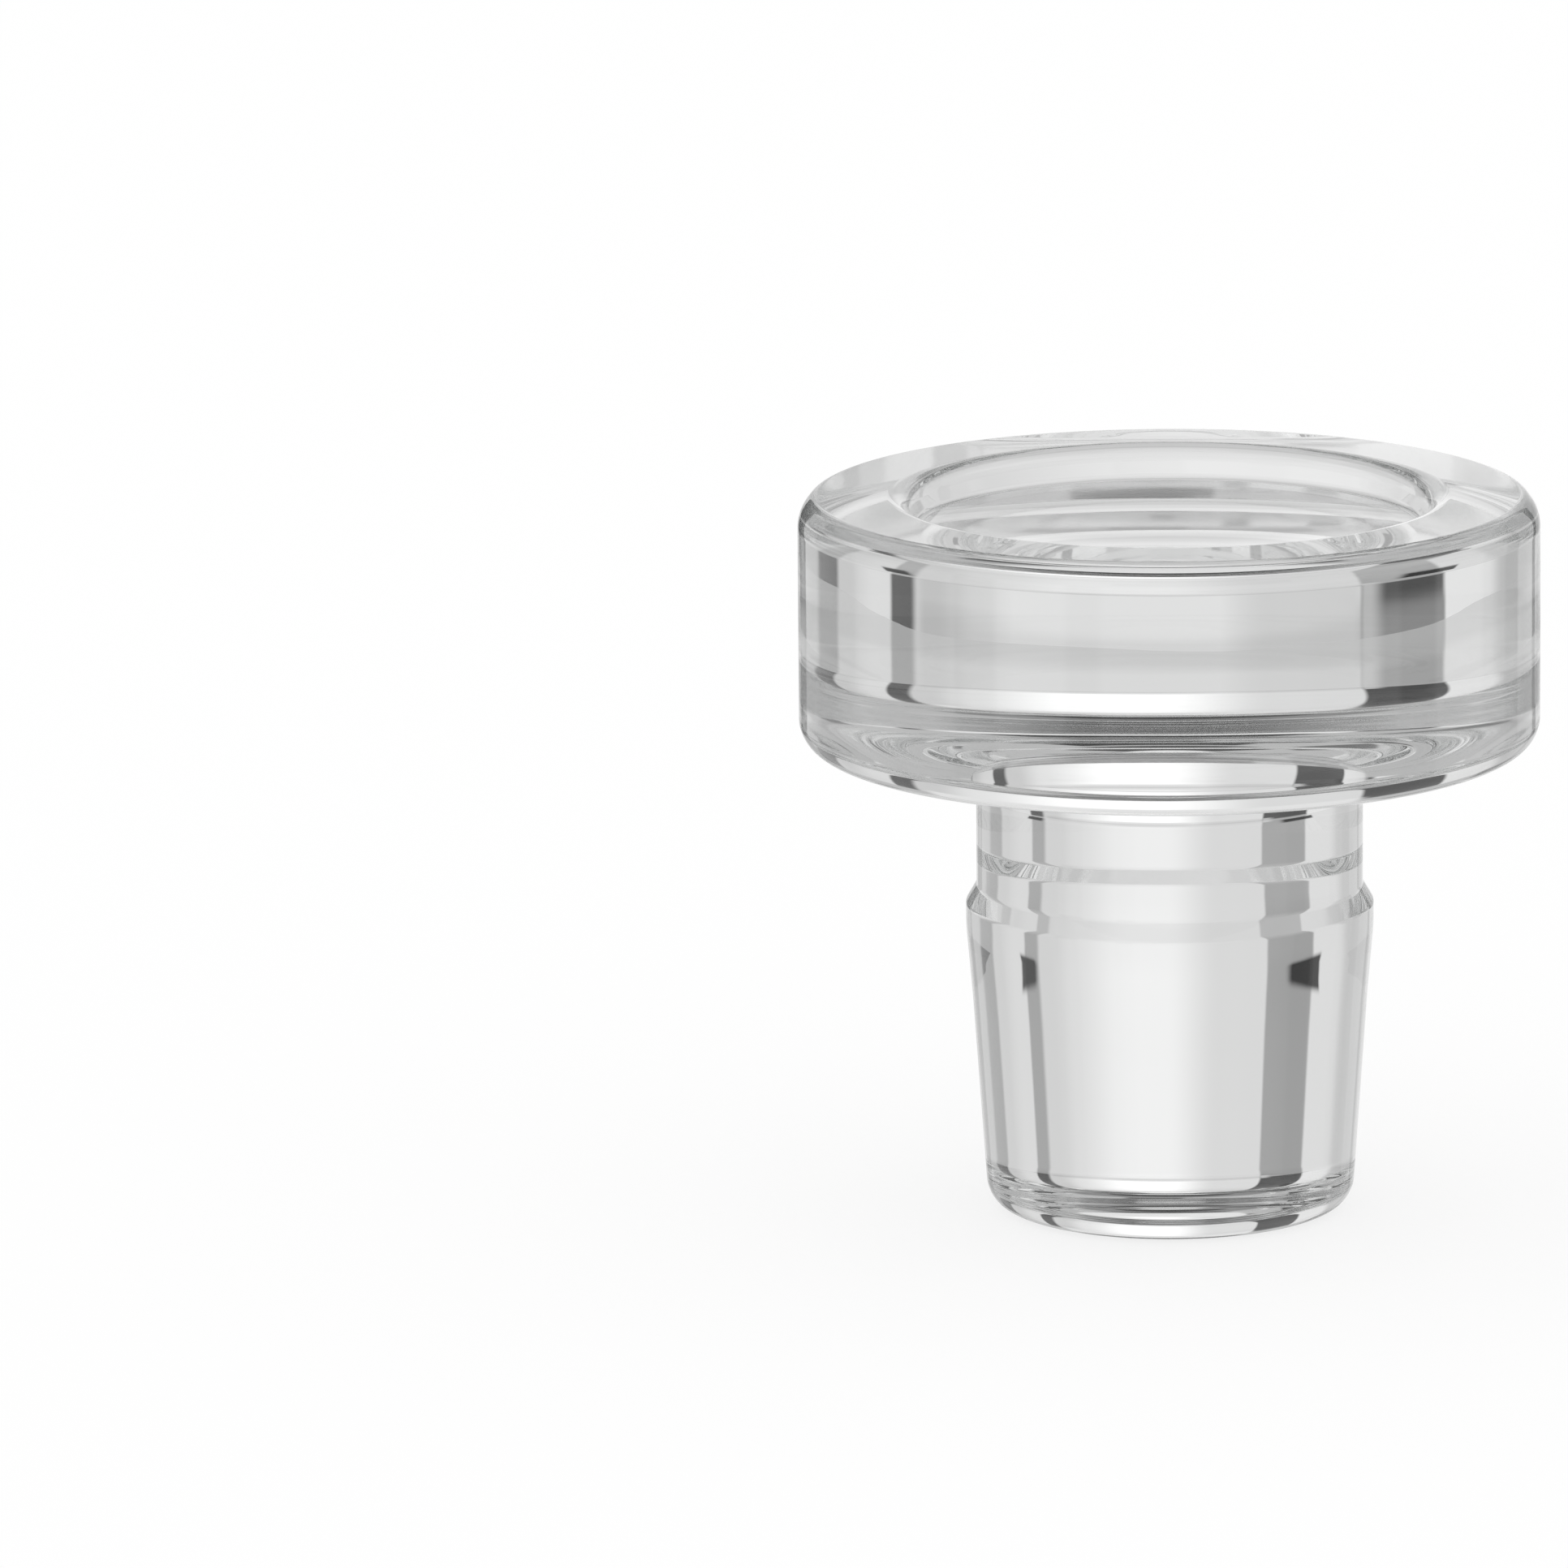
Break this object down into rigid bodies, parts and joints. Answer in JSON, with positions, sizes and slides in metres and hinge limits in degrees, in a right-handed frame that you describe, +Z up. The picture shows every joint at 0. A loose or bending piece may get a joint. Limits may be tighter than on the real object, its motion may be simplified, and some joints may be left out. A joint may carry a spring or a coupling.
{
  "type": "glass stopper",
  "caption": "Clear glass bottle stopper with a thick disc head, a shallow dish in its top, a short neck and a tapered plug.",
  "frame": {"origin": "middle of the plug's flat end, which the stopper stands on", "axes": "+Z runs up the axis, from the plug's end to the head; the form is the same all round it, so X and Y are free"},
  "size_m": [0.04, 0.04, 0.0392],
  "materials": {
    "clear_glass": "clear, pressed and fire-polished, smooth and glossy all over"
  },
  "bodies": {
    "root": {"stopper": "clear_glass"}
  },
  "joints": []
}
